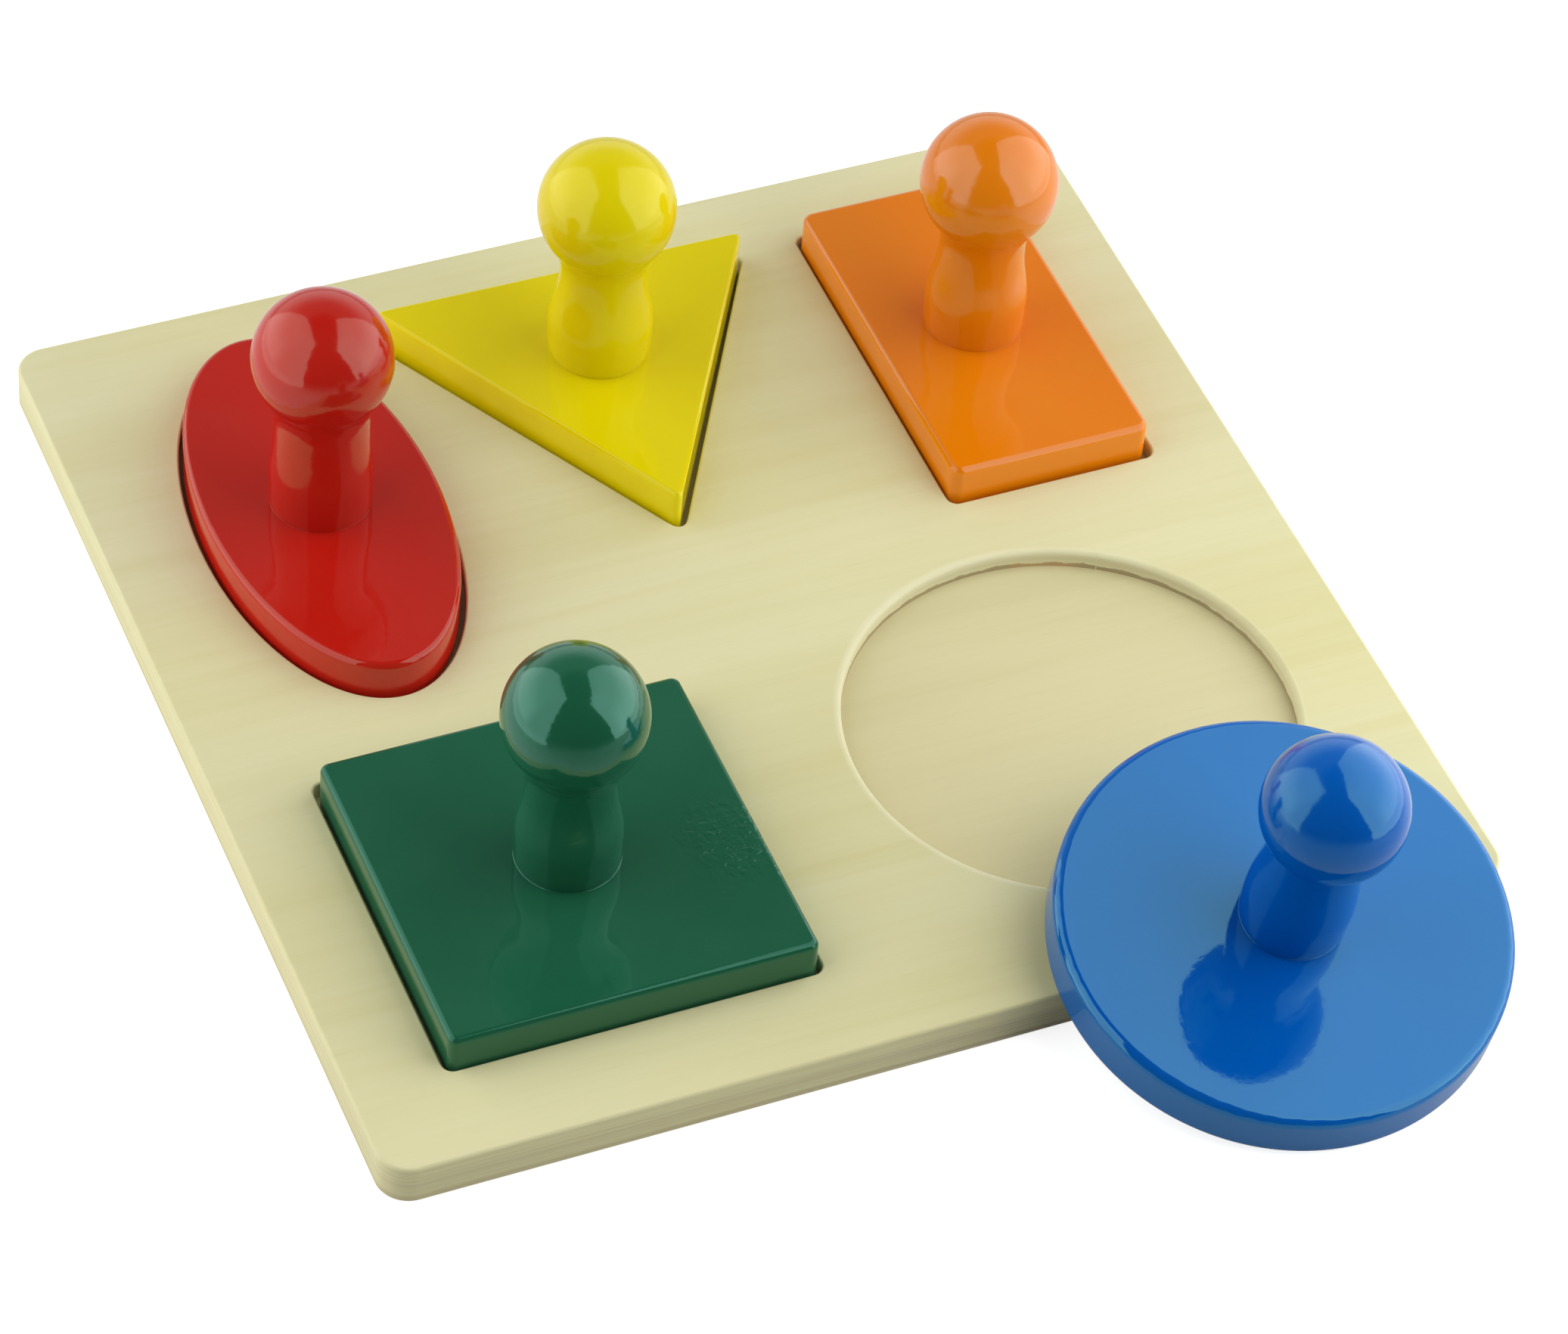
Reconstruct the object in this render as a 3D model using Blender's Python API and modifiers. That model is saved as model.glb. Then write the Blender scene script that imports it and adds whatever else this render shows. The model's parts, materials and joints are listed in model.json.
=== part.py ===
"""Shape board: a square wooden tray with five recesses, and five painted shapes with turned ball knobs.

Metres, +Z up. The origin is the middle of the tray's underside. X runs along the front edge,
and -Y is the side that the child sits at. Four shapes lie in their recesses. The blue disc is out
of its recess and leans on the tray's front edge, with its lower rim on the table.
"""

from math import asin, atan2, cos, hypot, pi, radians, sin, sqrt, tan

import bmesh
import bpy
from mathutils import Matrix, Vector

# Board: two glued layers, the upper one with the cut-outs
BASE_SHEET_THICKNESS = 0.0068
TOP_PANEL_THICKNESS = 0.0049
BOARD_CORNER_RADIUS = 0.0085
BOARD_EDGE_ROUNDING = 0.0024
RECESS_CORNER_RADIUS = 0.0028

# Shapes, as the painted plates measure
PLATE_THICKNESS = 0.0149
PLATE_EDGE_ROUNDING = 0.0018
SQUARE_SIDE = 0.0964
SQUARE_CORNER_RADIUS = 0.0025
DISC_DIAMETER = 0.1156
OVAL_WIDTH = 0.0624
OVAL_LENGTH = 0.1266
TRIANGLE_SIDE = 0.1062
TRIANGLE_CORNER_RADIUS = 0.0026
RECTANGLE_WIDTH = 0.0570
RECTANGLE_LENGTH = 0.1070
RECTANGLE_CORNER_RADIUS = 0.0032

# Play of a plate in its recess, on each side
RECESS_CLEARANCE = 0.0013
# Gap that glued, seated and screwed faces keep
SEAT_GAP = 0.0003

# Wood left between the recesses and the board's edges
SQUARE_LEFT_MARGIN = 0.0246
OVAL_LEFT_MARGIN = 0.0253
FRONT_MARGIN = 0.0272
RIGHT_MARGIN = 0.0230
BACK_MARGIN = 0.0227
TRIANGLE_BACK_MARGIN = 0.0243
SQUARE_TO_DISC = 0.0337
SQUARE_TO_OVAL = 0.0219
DISC_TO_RECTANGLE = 0.0214
OVAL_TO_TRIANGLE = 0.0012
TRIANGLE_TO_RECTANGLE = 0.0152

# How each seated plate lies in its play: shares of the clearance, and a turn
SQUARE_LIE = (-0.1, -0.65)
OVAL_LIE = (-0.15, 0.1)
TRIANGLE_LIE = (0.05, 0.0)
TRIANGLE_TURN = radians(-0.5)
RECTANGLE_LIE = (-0.4, 0.10)

# The disc leans on the board's front edge. Its rim stands a share of its diameter in front of that edge.
LEAN_REACH_SHARE = 0.494
LEAN_SHIFT = 0.0158
DISC_KNOB_OFFSET = (0.0018, 0.0010)

# Knob: a ball on a neck and a slightly barrelled stem
BALL_RADIUS = 0.01845
BALL_HEIGHT = 0.0493
NECK_RADIUS = 0.0116
STEM_RADIUS = 0.0139
STEM_BULGE_HEIGHT = 0.0110
FOOT_RADIUS = 0.0134

# Countersunk screw that holds the knob from beneath
SCREW_RADIUS = 0.0020
SCREW_HEAD_RADIUS = 0.0041
SCREW_HEAD_INSET = 0.0004
SCREW_LENGTH = 0.0300
SCREW_TIP_LENGTH = 0.0040
CROSS_WIDTH = 0.0010
CROSS_SPAN = 0.0046
CROSS_DEPTH = 0.0016

# Fineness of round shapes
BOARD_CORNER_STEPS = 6
CORNER_STEPS = 4
ROUND_STEPS = 56
KNOB_STEPS = 28
SCREW_STEPS = 16
BALL_ARC_STEPS = 9
STEM_ARC_STEPS = 7
EDGE_ROUNDING_STEPS = 2
WELD_DISTANCE = 0.000001

# Finishes: roughness, and colours as linear values
WOOD_ROUGHNESS = 0.55
ENAMEL_ROUGHNESS = 0.15
ZINC_ROUGHNESS = 0.35
BIRCH = (0.67, 0.60, 0.35)
RED = (0.50, 0.012, 0.010)
YELLOW = (0.70, 0.58, 0.006)
ORANGE = (0.72, 0.16, 0.006)
GREEN = (0.010, 0.10, 0.05)
BLUE = (0.004, 0.07, 0.38)
ZINC = (0.55, 0.54, 0.50)


def clear_scene():
    for obj in list(bpy.data.objects):
        bpy.data.objects.remove(obj, do_unlink=True)


def new_collection(name):
    collection = bpy.data.collections.new(name)
    bpy.context.scene.collection.children.link(collection)
    return collection


def new_material(name, colour, roughness, metallic=0.0):
    material = bpy.data.materials.new(name)
    material.use_nodes = True
    shader = material.node_tree.nodes["Principled BSDF"]
    shader.inputs["Base Color"].default_value = (*colour, 1.0)
    shader.inputs["Roughness"].default_value = roughness
    shader.inputs["Metallic"].default_value = metallic
    return material


def add_object(name, mesh, collection, material=None, parent=None, location=(0, 0, 0)):
    obj = bpy.data.objects.new(name, mesh)
    collection.objects.link(obj)
    obj.parent = parent
    obj.location = location
    if material:
        mesh.materials.append(material)
    return obj


def add_cutter(name, mesh, collection, parent=None, location=(0, 0, 0)):
    cutter = add_object(name, mesh, collection, parent=parent, location=location)
    cutter.hide_render = True
    cutter.display_type = "WIRE"
    return cutter


def cut(obj, cutter):
    boolean = obj.modifiers.new("cut by " + cutter.name, "BOOLEAN")
    boolean.operation = "DIFFERENCE"
    boolean.solver = "EXACT"
    boolean.object = cutter


def box_mesh(name, size):
    bm = bmesh.new()
    bmesh.ops.create_cube(bm, size=1.0, matrix=Matrix.Diagonal((*size, 1.0)))
    mesh = bpy.data.meshes.new(name)
    bm.to_mesh(mesh)
    bm.free()
    return mesh


def rounded_polygon(corners, radius, steps):
    """Points of a polygon with its corners rounded. The corners run anticlockwise."""
    points = []
    for index, corner in enumerate(corners):
        corner = Vector(corner)
        before = (corner - Vector(corners[index - 1])).normalized()
        after = (Vector(corners[(index + 1) % len(corners)]) - corner).normalized()
        turn = before.angle(after)
        centre = corner - before * radius * tan(turn / 2) + Vector((-before.y, before.x)) * radius
        start = atan2(-before.x, before.y)
        for step in range(steps + 1):
            angle = start + turn * step / steps
            points.append(centre + radius * Vector((cos(angle), sin(angle))))
    return points


def rectangle_outline(width, length, radius, steps):
    x, y = width / 2, length / 2
    return rounded_polygon([(-x, -y), (x, -y), (x, y), (-x, y)], radius, steps)


def triangle_outline(side, radius):
    """An equilateral triangle about its centroid, with one corner towards -Y."""
    inner = side / (2 * sqrt(3))
    return rounded_polygon(
        [(0, -2 * inner), (side / 2, inner), (-side / 2, inner)], radius, CORNER_STEPS
    )


def oval_outline(width, length):
    angles = [2 * pi * step / ROUND_STEPS for step in range(ROUND_STEPS)]
    return [Vector((width / 2 * cos(a), length / 2 * sin(a))) for a in angles]


def slab_mesh(name, outlines, thickness, rounding):
    """A flat slab about z = 0, with its edges rounded. Outlines after the first are holes."""
    curve = bpy.data.curves.new(name, "CURVE")
    curve.dimensions = "2D"
    curve.fill_mode = "BOTH"
    curve.extrude = thickness / 2 - rounding
    curve.bevel_depth = rounding
    curve.offset = -rounding
    curve.bevel_resolution = EDGE_ROUNDING_STEPS
    for points in outlines:
        spline = curve.splines.new("POLY")
        spline.points.add(len(points) - 1)
        spline.use_cyclic_u = True
        for point, place in zip(spline.points, points):
            point.co = (place.x, place.y, 0.0, 1.0)
    holder = bpy.data.objects.new(name, curve)
    mesh = bpy.data.meshes.new_from_object(holder)
    bpy.data.objects.remove(holder, do_unlink=True)
    bm = bmesh.new()
    bm.from_mesh(mesh)
    bmesh.ops.remove_doubles(bm, verts=bm.verts, dist=WELD_DISTANCE)
    bmesh.ops.recalc_face_normals(bm, faces=bm.faces)
    bm.to_mesh(mesh)
    bm.free()
    return mesh


def profile_mesh(name, profile):
    """An open chain of points in the XZ plane, for a Screw modifier."""
    mesh = bpy.data.meshes.new(name)
    points = [(x, 0.0, z) for x, z in profile]
    edges = [(i, i + 1) for i in range(len(points) - 1)]
    mesh.from_pydata(points, edges, [])
    return mesh


def turn(obj, steps):
    screw = obj.modifiers.new("turned", "SCREW")
    screw.steps = steps
    screw.render_steps = steps
    screw.use_merge_vertices = True
    screw.merge_threshold = WELD_DISTANCE
    screw.use_smooth_shade = True


def board_layout():
    """Board size, and the recess centres from the board's middle."""
    play = 2 * RECESS_CLEARANCE
    triangle_play = 2 * sqrt(3) * RECESS_CLEARANCE
    square = SQUARE_SIDE + play
    disc = DISC_DIAMETER + play
    oval = Vector((OVAL_WIDTH + play, OVAL_LENGTH + play))
    rectangle = Vector((RECTANGLE_WIDTH + play, RECTANGLE_LENGTH + play))
    triangle = TRIANGLE_SIDE + triangle_play
    centres = {
        "square": Vector((SQUARE_LEFT_MARGIN + square / 2, FRONT_MARGIN + square / 2)),
        "disc": Vector(
            (SQUARE_LEFT_MARGIN + square + SQUARE_TO_DISC + disc / 2, FRONT_MARGIN + disc / 2)
        ),
        "oval": Vector(
            (OVAL_LEFT_MARGIN + oval.x / 2, FRONT_MARGIN + square + SQUARE_TO_OVAL + oval.y / 2)
        ),
    }
    triangle_left = OVAL_LEFT_MARGIN + oval.x + OVAL_TO_TRIANGLE
    rectangle_left = triangle_left + triangle + TRIANGLE_TO_RECTANGLE
    rectangle_front = FRONT_MARGIN + disc + DISC_TO_RECTANGLE
    centres["rectangle"] = Vector(
        (rectangle_left + rectangle.x / 2, rectangle_front + rectangle.y / 2)
    )
    right_ends = (centres["rectangle"].x + rectangle.x / 2, centres["disc"].x + disc / 2)
    back_ends = (centres["rectangle"].y + rectangle.y / 2, centres["oval"].y + oval.y / 2)
    board = Vector((max(right_ends) + RIGHT_MARGIN, max(back_ends) + BACK_MARGIN))
    triangle_back = board.y - TRIANGLE_BACK_MARGIN
    centres["triangle"] = Vector(
        (triangle_left + triangle / 2, triangle_back - triangle / (2 * sqrt(3)))
    )
    return board, {name: centre - board / 2 for name, centre in centres.items()}


def recess_outlines(centres):
    play = 2 * RECESS_CLEARANCE
    shapes = {
        "square": rectangle_outline(
            SQUARE_SIDE + play, SQUARE_SIDE + play, RECESS_CORNER_RADIUS, CORNER_STEPS
        ),
        "disc": oval_outline(DISC_DIAMETER + play, DISC_DIAMETER + play),
        "oval": oval_outline(OVAL_WIDTH + play, OVAL_LENGTH + play),
        "triangle": triangle_outline(TRIANGLE_SIDE + sqrt(3) * play, RECESS_CORNER_RADIUS),
        "rectangle": rectangle_outline(
            RECTANGLE_WIDTH + play, RECTANGLE_LENGTH + play, RECESS_CORNER_RADIUS, CORNER_STEPS
        ),
    }
    return [[point + centres[name] for point in shape] for name, shape in shapes.items()]


def board_layer(name, outlines, thickness, glue_plane, upper, board, parts, cutters, material):
    """A slab twice as thick, about the glue plane, with the half beyond that plane cut away."""
    mesh = slab_mesh(name, outlines, 2 * thickness, BOARD_EDGE_ROUNDING)
    layer = add_object(name, mesh, parts, material, location=(0, 0, glue_plane))
    block = box_mesh(name + "_trim", (2 * board.x, 2 * board.y, 2 * thickness))
    side = -thickness if upper else thickness
    cut(layer, add_cutter(name + "_trim", block, cutters, location=(0, 0, glue_plane + side)))


def build_board(board, centres, parts, cutters):
    edge = rectangle_outline(board.x, board.y, BOARD_CORNER_RADIUS, BOARD_CORNER_STEPS)
    birch = new_material("birch plywood", BIRCH, WOOD_ROUGHNESS)
    base_top = BASE_SHEET_THICKNESS
    panel_bottom = base_top + SEAT_GAP
    board_layer(
        "board_base_sheet", [edge], BASE_SHEET_THICKNESS, base_top, False, board, parts, cutters, birch
    )
    holes = recess_outlines(centres)
    board_layer(
        "board_top_panel", [edge, *holes], TOP_PANEL_THICKNESS, panel_bottom, True, board, parts,
        cutters, birch
    )


def knob_profile():
    """From the ball's top, down the outside, over the foot and up the pilot bore."""
    bore_radius = SCREW_RADIUS + SEAT_GAP
    plate_and_gap = PLATE_THICKNESS + SEAT_GAP
    bore_depth = SCREW_LENGTH + SCREW_HEAD_INSET + SEAT_GAP - plate_and_gap
    meet = asin(NECK_RADIUS / BALL_RADIUS)
    neck_height = BALL_HEIGHT - BALL_RADIUS * cos(meet)
    points = []
    for step in range(BALL_ARC_STEPS + 1):
        angle = (pi - meet) * step / BALL_ARC_STEPS
        points.append((BALL_RADIUS * sin(angle), BALL_HEIGHT + BALL_RADIUS * cos(angle)))
    for step in range(1, STEM_ARC_STEPS + 1):
        share = step / STEM_ARC_STEPS
        height = neck_height + (STEM_BULGE_HEIGHT - neck_height) * share
        radius = NECK_RADIUS + (STEM_RADIUS - NECK_RADIUS) * (1 - cos(pi * share)) / 2
        points.append((radius, height))
    half_way = STEM_BULGE_HEIGHT / 2
    points.append((FOOT_RADIUS + (STEM_RADIUS - FOOT_RADIUS) * sin(pi / 4), half_way))
    points += [(FOOT_RADIUS, 0.0), (bore_radius, 0.0), (bore_radius, bore_depth), (0.0, bore_depth)]
    return points


def screw_profile():
    """Point upwards: from the tip down the shank to the countersunk head."""
    shoulder = SCREW_LENGTH - SCREW_TIP_LENGTH
    neck = SCREW_HEAD_RADIUS - SCREW_RADIUS
    return [(0, SCREW_LENGTH), (SCREW_RADIUS, shoulder), (SCREW_RADIUS, neck), (SCREW_HEAD_RADIUS, 0), (0, 0)]


def hole_profile():
    """The screw's shape with the gap round it, open past both faces of the plate."""
    shank = SCREW_RADIUS + SEAT_GAP
    rim = SCREW_HEAD_RADIUS + SEAT_GAP
    cone_top = SCREW_HEAD_INSET + rim - shank + SEAT_GAP
    rim_top = SCREW_HEAD_INSET + SEAT_GAP
    past_plate = PLATE_THICKNESS + 2 * SEAT_GAP
    below = -PLATE_THICKNESS
    return [(0, past_plate), (shank, past_plate), (shank, cone_top), (rim, rim_top), (rim, below), (0, below)]


def add_screw(name, base, offset, parts, cutters, material):
    place = (*offset, SCREW_HEAD_INSET)
    screw = add_object(name, profile_mesh(name, screw_profile()), parts, material, base, place)
    turn(screw, SCREW_STEPS)
    for index, size in enumerate(((CROSS_SPAN, CROSS_WIDTH), (CROSS_WIDTH, CROSS_SPAN))):
        slot_name = name + "_slot_" + "ab"[index]
        slot = box_mesh(slot_name, (*size, 2 * CROSS_DEPTH))
        cut(screw, add_cutter(slot_name, slot, cutters, base, place))


def build_shape(name, outline, placement, material, metal, parts, cutters, knob_offset=(0, 0)):
    """A plate with its knob and screw, under an empty at the middle of the plate's underside."""
    base = bpy.data.objects.new(name + "_base", None)
    parts.objects.link(base)
    base.matrix_world = placement
    plate_name, knob_name = name + "_plate", name + "_knob"
    mesh = slab_mesh(plate_name, [outline], PLATE_THICKNESS, PLATE_EDGE_ROUNDING)
    plate = add_object(plate_name, mesh, parts, material, base, (0, 0, PLATE_THICKNESS / 2))
    hole_name = name + "_screw_hole"
    hole = add_cutter(
        hole_name, profile_mesh(hole_name, hole_profile()), cutters, base, (*knob_offset, 0)
    )
    turn(hole, SCREW_STEPS)
    cut(plate, hole)
    foot = (*knob_offset, PLATE_THICKNESS + SEAT_GAP)
    knob = add_object(knob_name, profile_mesh(knob_name, knob_profile()), parts, material, base, foot)
    turn(knob, KNOB_STEPS)
    add_screw(name + "_screw", base, knob_offset, parts, cutters, metal)


def seated(centre, lie, turned=0.0):
    """The placement of a plate in its recess, shifted by a share of its play."""
    shift = RECESS_CLEARANCE * Vector(lie)
    place = Vector((*(centre + shift), BASE_SHEET_THICKNESS + SEAT_GAP))
    return Matrix.Translation(place) @ Matrix.Rotation(turned, 4, "Z")


def leaning(board, centres):
    """The placement of the disc: underside on the board's front edge, lower rim on the table."""
    board_top = BASE_SHEET_THICKNESS + SEAT_GAP + TOP_PANEL_THICKNESS
    rim_y = -board.y / 2 - LEAN_REACH_SHARE * DISC_DIAMETER
    edge_y = -board.y / 2 + BOARD_EDGE_ROUNDING
    across = edge_y - rim_y
    rise = board_top - BOARD_EDGE_ROUNDING - PLATE_EDGE_ROUNDING
    between = PLATE_EDGE_ROUNDING + BOARD_EDGE_ROUNDING + SEAT_GAP
    tilt = atan2(rise, across) + asin(between / hypot(across, rise))
    to_centre = DISC_DIAMETER / 2 - PLATE_EDGE_ROUNDING
    rim = Vector((centres["disc"].x + LEAN_SHIFT, rim_y, PLATE_EDGE_ROUNDING))
    up_slope = Vector((0, cos(tilt), sin(tilt)))
    normal = Vector((0, -sin(tilt), cos(tilt)))
    place = rim + to_centre * up_slope - PLATE_EDGE_ROUNDING * normal
    return Matrix.Translation(place) @ Matrix.Rotation(tilt, 4, "X")


def build_shapes(board, centres, parts, cutters):
    metal = new_material("zinc plated steel", ZINC, ZINC_ROUGHNESS, metallic=1.0)
    shapes = {
        "square": (
            rectangle_outline(SQUARE_SIDE, SQUARE_SIDE, SQUARE_CORNER_RADIUS, CORNER_STEPS),
            seated(centres["square"], SQUARE_LIE), GREEN, (0, 0),
        ),
        "oval": (
            oval_outline(OVAL_WIDTH, OVAL_LENGTH), seated(centres["oval"], OVAL_LIE), RED, (0, 0),
        ),
        "triangle": (
            triangle_outline(TRIANGLE_SIDE, TRIANGLE_CORNER_RADIUS),
            seated(centres["triangle"], TRIANGLE_LIE, TRIANGLE_TURN), YELLOW, (0, 0),
        ),
        "rectangle": (
            rectangle_outline(RECTANGLE_WIDTH, RECTANGLE_LENGTH, RECTANGLE_CORNER_RADIUS, CORNER_STEPS),
            seated(centres["rectangle"], RECTANGLE_LIE), ORANGE, (0, 0),
        ),
        "disc": (
            oval_outline(DISC_DIAMETER, DISC_DIAMETER), leaning(board, centres), BLUE,
            DISC_KNOB_OFFSET,
        ),
    }
    for name, (outline, placement, colour, knob_offset) in shapes.items():
        paint = new_material(name + " enamel", colour, ENAMEL_ROUGHNESS)
        build_shape(name, outline, placement, paint, metal, parts, cutters, knob_offset)


def main():
    clear_scene()
    parts = new_collection("shape_board")
    cutters = new_collection("cutters")
    board, centres = board_layout()
    build_board(board, centres, parts, cutters)
    build_shapes(board, centres, parts, cutters)


main()
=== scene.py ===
"""Shape board: the looks of a wooden toddler board with five painted shapes that lift out by ball knobs.

Metres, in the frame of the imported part: +Z up, X along the front edge, the child's side at -Y.
"""

import json
from math import asin, atan2, cos, pi, radians, sin, sqrt, tan

import bmesh
import bpy
from mathutils import Matrix, Vector


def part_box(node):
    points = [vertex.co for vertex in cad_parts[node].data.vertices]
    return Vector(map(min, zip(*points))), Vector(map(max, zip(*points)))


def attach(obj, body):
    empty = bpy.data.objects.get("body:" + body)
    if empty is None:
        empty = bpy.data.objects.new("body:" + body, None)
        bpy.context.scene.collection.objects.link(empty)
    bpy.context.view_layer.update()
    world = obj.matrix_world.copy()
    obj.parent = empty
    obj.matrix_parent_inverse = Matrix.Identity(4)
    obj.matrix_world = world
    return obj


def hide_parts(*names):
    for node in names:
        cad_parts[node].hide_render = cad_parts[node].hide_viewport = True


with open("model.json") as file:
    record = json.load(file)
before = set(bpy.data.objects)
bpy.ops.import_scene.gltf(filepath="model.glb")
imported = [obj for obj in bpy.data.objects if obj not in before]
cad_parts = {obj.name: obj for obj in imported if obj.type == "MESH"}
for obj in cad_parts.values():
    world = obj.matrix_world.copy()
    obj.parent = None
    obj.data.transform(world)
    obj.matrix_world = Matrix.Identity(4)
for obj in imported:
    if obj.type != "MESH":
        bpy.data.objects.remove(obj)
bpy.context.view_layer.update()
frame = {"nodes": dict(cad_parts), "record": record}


# Base sheet
# The lower plywood sheet of the tray. It closes the recesses from below and stands on the table.
# Birch plies, sawn and sanded, glued under the top panel, with a rounded lower edge.

BOARD_CORNER_RADIUS = 0.0085
BOARD_EDGE_ROUNDING = 0.0009
# The sheets are a little smaller than their CAD nodes, whose edges are rounder
BOARD_TRIM_LOW = Vector((0.0004, 0.0012, 0))
BOARD_TRIM_HIGH = Vector((0, 0.0007, 0))
CORNER_SEGMENTS = 14
ROUNDING_SEGMENTS = 7

PALE_BIRCH = (0.750, 0.728, 0.450)
WARM_BIRCH = (0.675, 0.627, 0.315)
FLOOR_PALE = (0.700, 0.650, 0.375)
FLOOR_WARM = (0.650, 0.590, 0.325)
PLY_BROWN = (0.50, 0.42, 0.25)
PLY_PALE = (0.74, 0.70, 0.48)
EDGE_BIRCH = (0.735, 0.700, 0.405)
GLUE_BROWN = (0.30, 0.20, 0.09)
GLUE_RUST = (0.50, 0.24, 0.07)
SPECK_BROWN = (0.20, 0.12, 0.05)
# Paler birch painted along the round recess's lip as a highlight
LIP_HIGHLIGHT_BIRCH = (0.820, 0.790, 0.560)
PLY_PITCH = 0.0011
NICK_WIDTH = 0.00036
NICK_TO_RUST = 0.013
GLUE_UNEVENNESS = 0.0020
# How strongly each of these covers what lies under it
WALL_PALENESS = 0.40
LIP_HIGHLIGHT_SHARE = 0.42
GLUE_SHARE = 0.70
NICK_SHARE = 0.7
# Distances from the foot of the round recess's middle at which its paler wall and the painted highlight on
# its lip fade out
WALL_REACH = (0.0625, 0.0630)
LIP_REACH = (0.0608, 0.0617)


def deselect_all():
    bpy.ops.object.select_all(action="DESELECT")


def add_block(name, low, high):
    """A box primitive between two corners, with its place in its mesh."""
    deselect_all()
    bpy.ops.mesh.primitive_cube_add(size=1, location=(low + high) / 2, scale=high - low)
    block = bpy.context.object
    block.name = block.data.name = name
    bpy.ops.object.transform_apply(location=True, rotation=True, scale=True)
    return block


def pick_edges(piece, wanted):
    """Opens the piece in edit mode with only the edges that the test names selected."""
    bpy.context.view_layer.objects.active = piece
    bpy.ops.object.mode_set(mode="EDIT")
    bpy.ops.mesh.select_mode(type="EDGE")
    bpy.ops.mesh.select_all(action="DESELECT")
    mesh = bmesh.from_edit_mesh(piece.data)
    for edge in mesh.edges:
        edge.select = wanted(edge)
    bmesh.update_edit_mesh(piece.data)


def upright(edge):
    """Whether an edge runs straight up."""
    start, end = edge.verts
    return abs(start.co.z - end.co.z) > 0.6 * edge.calc_length()


def rim_at(height):
    """A test for the edges at a height where a flat face meets a wall."""
    def wanted(edge):
        level = all(abs(vertex.co.z - height) < 0.00001 for vertex in edge.verts)
        return level and len(edge.link_faces) == 2 and edge.calc_face_angle(0) > radians(60)
    return wanted


def round_edges(piece, wanted, radius, segments):
    """Rounds the edges that the test names."""
    pick_edges(piece, wanted)
    bpy.ops.mesh.bevel(offset=radius, segments=segments, profile=0.5, affect="EDGES", clamp_overlap=False)
    bpy.ops.object.mode_set(mode="OBJECT")


def shade(piece, angle=35):
    """Smooth shading that keeps edges sharper than the angle in degrees, and large flat faces flat."""
    deselect_all()
    piece.select_set(True)
    bpy.context.view_layer.objects.active = piece
    bpy.ops.object.mode_set(mode="EDIT")
    bpy.ops.mesh.select_all(action="SELECT")
    bpy.ops.mesh.quads_convert_to_tris(quad_method="BEAUTY", ngon_method="BEAUTY")
    bpy.ops.object.mode_set(mode="OBJECT")
    bpy.ops.object.shade_smooth_by_angle(angle=radians(angle))
    weighting = piece.modifiers.new("flat faces", "WEIGHTED_NORMAL")
    weighting.keep_sharp = True
    bpy.ops.object.modifier_apply(modifier=weighting.name)


def carve(piece, cutter):
    """Takes the cutter's shape out of the piece, and the cutter with it."""
    deselect_all()
    piece.select_set(True)
    bpy.context.view_layer.objects.active = piece
    boolean = piece.modifiers.new("carve", "BOOLEAN")
    boolean.operation = "DIFFERENCE"
    boolean.solver = "EXACT"
    boolean.object = cutter
    bpy.ops.object.modifier_apply(modifier=boolean.name)
    bpy.data.objects.remove(cutter, do_unlink=True)


def new_group(name, inputs, outputs):
    """A shader node group with its sockets. Returns the tree with its input and output nodes."""
    tree = bpy.data.node_groups.new(name, "ShaderNodeTree")
    for label, kind, value in inputs:
        socket = tree.interface.new_socket(label, in_out="INPUT", socket_type="NodeSocket" + kind)
        if value is not None:
            socket.default_value = value
    for label, kind in outputs:
        tree.interface.new_socket(label, in_out="OUTPUT", socket_type="NodeSocket" + kind)
    return tree, tree.nodes.new("NodeGroupInput"), tree.nodes.new("NodeGroupOutput")


def node(tree, kind, settings=None, **links):
    """A shader node. Settings are its properties, and links give its sockets a value or another socket."""
    made = tree.nodes.new("ShaderNode" + kind)
    for key, value in (settings or {}).items():
        setattr(made, key, value)
    for key, value in links.items():
        wanted = key.replace("_", " ").lower()
        socket = [s for s in made.inputs if s.enabled and s.name.lower() == wanted][0]
        if isinstance(value, bpy.types.NodeSocket):
            tree.links.new(value, socket)
        else:
            socket.default_value = value
    return made


def maths(tree, operation, first, second=0.0, third=0.0, clamp=False):
    """A sum on values or other sockets."""
    made = tree.nodes.new("ShaderNodeMath")
    made.operation = operation
    made.use_clamp = clamp
    for socket, value in zip(made.inputs, (first, second, third)):
        if isinstance(value, bpy.types.NodeSocket):
            tree.links.new(value, socket)
        else:
            socket.default_value = value
    return made.outputs[0]


def mixed(tree, factor, first, second, blend="MIX"):
    """A blend of two colours by a factor."""
    made = tree.nodes.new("ShaderNodeMix")
    made.data_type = "RGBA"
    made.blend_type = blend
    for socket, value in ((made.inputs[0], factor), (made.inputs[6], first), (made.inputs[7], second)):
        if isinstance(value, bpy.types.NodeSocket):
            tree.links.new(value, socket)
        else:
            socket.default_value = value if isinstance(value, (int, float)) else (*value[:3], 1.0)
    return made.outputs[2]


def spread(tree, value, low, high, to_low=0.0, to_high=1.0):
    """A value mapped from one range to another, and held at its ends."""
    made = tree.nodes.new("ShaderNodeMapRange")
    made.interpolation_type = "SMOOTHSTEP"
    tree.links.new(value, made.inputs["Value"])
    for label, number in zip(("From Min", "From Max", "To Min", "To Max"), (low, high, to_low, to_high)):
        made.inputs[label].default_value = number
    return made.outputs["Result"]


def stretched(tree, vector, scale):
    """Coordinates times a scale for each axis."""
    made = node(tree, "Mapping", vector=vector, scale=scale)
    return made.outputs["Vector"]


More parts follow.
